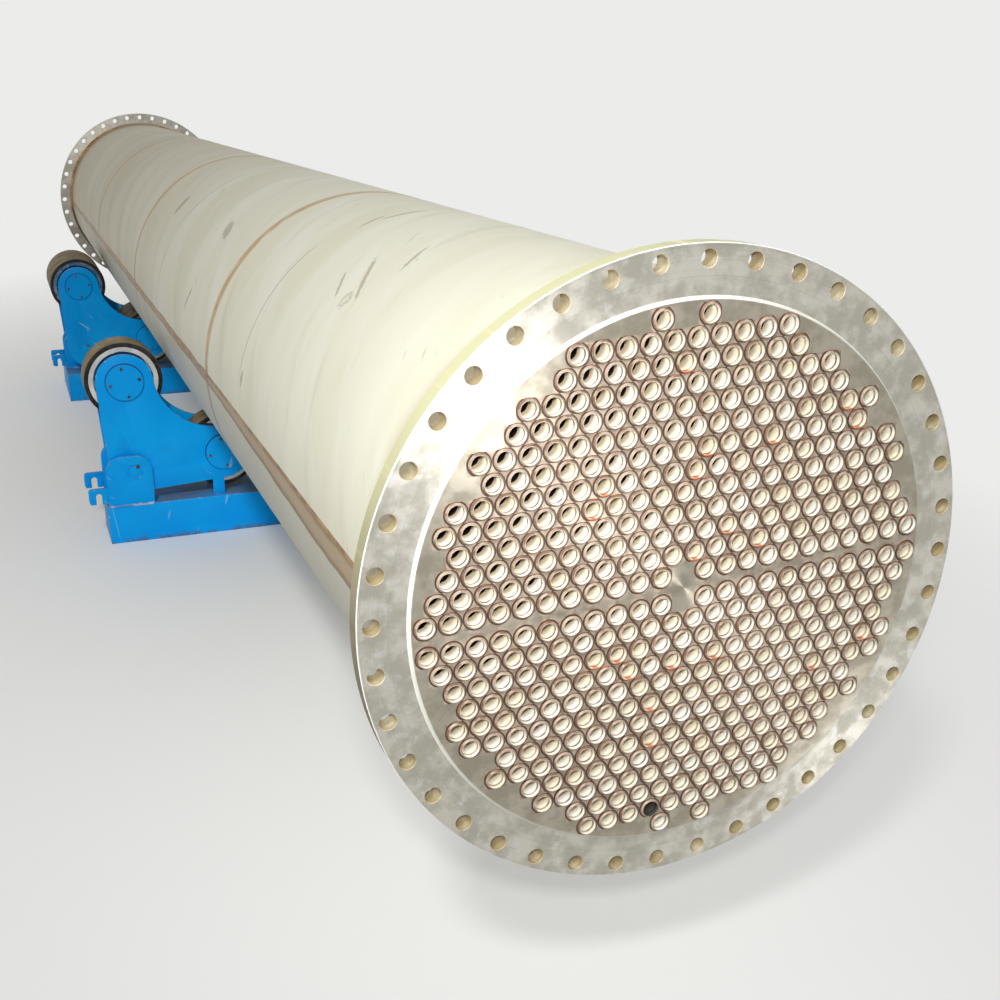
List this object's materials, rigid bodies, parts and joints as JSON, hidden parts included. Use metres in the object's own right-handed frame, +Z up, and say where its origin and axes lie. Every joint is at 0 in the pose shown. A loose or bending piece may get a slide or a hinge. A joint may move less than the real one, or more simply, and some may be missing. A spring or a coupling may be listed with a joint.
{
  "type": "shell and tube heat exchanger on two roller stands",
  "caption": "Long steel shell with a drilled tubesheet and its tube bundle at each end, lying on two self-aligning roller stands that turn it.",
  "frame": {"origin": "on the floor under the middle of the vessel, half way between the tube ends", "axes": "+Y along the vessel from the front tubesheet to the rear one, +Z up, +X to the right of a viewer who faces the front tubesheet"},
  "size_m": [1.2286, 5.719, 1.128],
  "materials": {
    "shell_steel": "pickled, matt",
    "tubesheet_steel": "turned face, stained",
    "weld_metal": "heat tinted",
    "tube_steel": "bright drawn",
    "stand_paint": "gloss enamel",
    "pin_steel": "machined",
    "hub_steel": "turned",
    "tyre_rubber": "dusty"
  },
  "bodies": {
    "stands": {"idler_base": "stand_paint", "idler_ears": "stand_paint", "idler_hooks": "stand_paint", "idler_left_rocker": "stand_paint", "idler_right_rocker": "stand_paint", "idler_pivots": "pin_steel", "idler_axles": "pin_steel", "idler_covers": "stand_paint", "drive_base": "stand_paint", "drive_ears": "stand_paint", "drive_hooks": "stand_paint", "drive_left_rocker": "stand_paint", "drive_right_rocker": "stand_paint", "drive_pivots": "pin_steel", "drive_axles": "pin_steel", "drive_covers": "stand_paint"},
    "vessel": {"front_tubesheet": "tube_steel", "rear_tubesheet": "tube_steel", "shell_course_1": "shell_steel", "shell_course_2": "shell_steel", "shell_course_3": "shell_steel", "shell_course_4": "shell_steel", "girth_welds": "weld_metal", "long_welds": "weld_metal", "tubesheet_welds": "weld_metal", "upper_tubes": "tube_steel", "lower_tubes": "tube_steel"},
    "idler_left_outer_roller": {"idler_left_outer_hub": "hub_steel", "idler_left_outer_tyre": "tyre_rubber"},
    "idler_left_inner_roller": {"idler_left_inner_hub": "hub_steel", "idler_left_inner_tyre": "tyre_rubber"},
    "idler_right_outer_roller": {"idler_right_outer_hub": "hub_steel", "idler_right_outer_tyre": "tyre_rubber"},
    "idler_right_inner_roller": {"idler_right_inner_hub": "hub_steel", "idler_right_inner_tyre": "tyre_rubber"},
    "drive_left_outer_roller": {"drive_left_outer_hub": "hub_steel", "drive_left_outer_tyre": "tyre_rubber"},
    "drive_left_inner_roller": {"drive_left_inner_hub": "hub_steel", "drive_left_inner_tyre": "tyre_rubber"},
    "drive_right_outer_roller": {"drive_right_outer_hub": "hub_steel", "drive_right_outer_tyre": "tyre_rubber"},
    "drive_right_inner_roller": {"drive_right_inner_hub": "hub_steel", "drive_right_inner_tyre": "tyre_rubber"}
  },
  "joints": [
    {"name": "vessel_turn", "type": "hinge", "parent": "stands", "child": "vessel", "pos_m": [0, 0, 0.692], "axis": [0, 1, 0], "continuous": true},
    {"name": "idler_left_outer_spin", "type": "hinge", "parent": "stands", "child": "idler_left_outer_roller", "pos_m": [-0.48215, -0.505, 0.48224], "axis": [0, 1, 0], "continuous": true},
    {"name": "idler_left_inner_spin", "type": "hinge", "parent": "stands", "child": "idler_left_inner_roller", "pos_m": [-0.21272, -0.505, 0.24803], "axis": [0, 1, 0], "continuous": true},
    {"name": "idler_right_outer_spin", "type": "hinge", "parent": "stands", "child": "idler_right_outer_roller", "pos_m": [0.48215, -0.505, 0.48224], "axis": [0, 1, 0], "continuous": true},
    {"name": "idler_right_inner_spin", "type": "hinge", "parent": "stands", "child": "idler_right_inner_roller", "pos_m": [0.21272, -0.505, 0.24803], "axis": [0, 1, 0], "continuous": true},
    {"name": "drive_left_outer_spin", "type": "hinge", "parent": "stands", "child": "drive_left_outer_roller", "pos_m": [-0.48215, 1.405, 0.48224], "axis": [0, 1, 0], "continuous": true},
    {"name": "drive_left_inner_spin", "type": "hinge", "parent": "stands", "child": "drive_left_inner_roller", "pos_m": [-0.21272, 1.405, 0.24803], "axis": [0, 1, 0], "continuous": true},
    {"name": "drive_right_outer_spin", "type": "hinge", "parent": "stands", "child": "drive_right_outer_roller", "pos_m": [0.48215, 1.405, 0.48224], "axis": [0, 1, 0], "continuous": true},
    {"name": "drive_right_inner_spin", "type": "hinge", "parent": "stands", "child": "drive_right_inner_roller", "pos_m": [0.21272, 1.405, 0.24803], "axis": [0, 1, 0], "continuous": true}
  ],
  "couplings": [
    {"joint": "idler_left_inner_spin", "follows": "vessel_turn", "ratio": -3.4324},
    {"joint": "idler_right_inner_spin", "follows": "vessel_turn", "ratio": -3.4324},
    {"joint": "drive_left_inner_spin", "follows": "vessel_turn", "ratio": -3.4324},
    {"joint": "drive_right_inner_spin", "follows": "vessel_turn", "ratio": -3.4324}
  ]
}
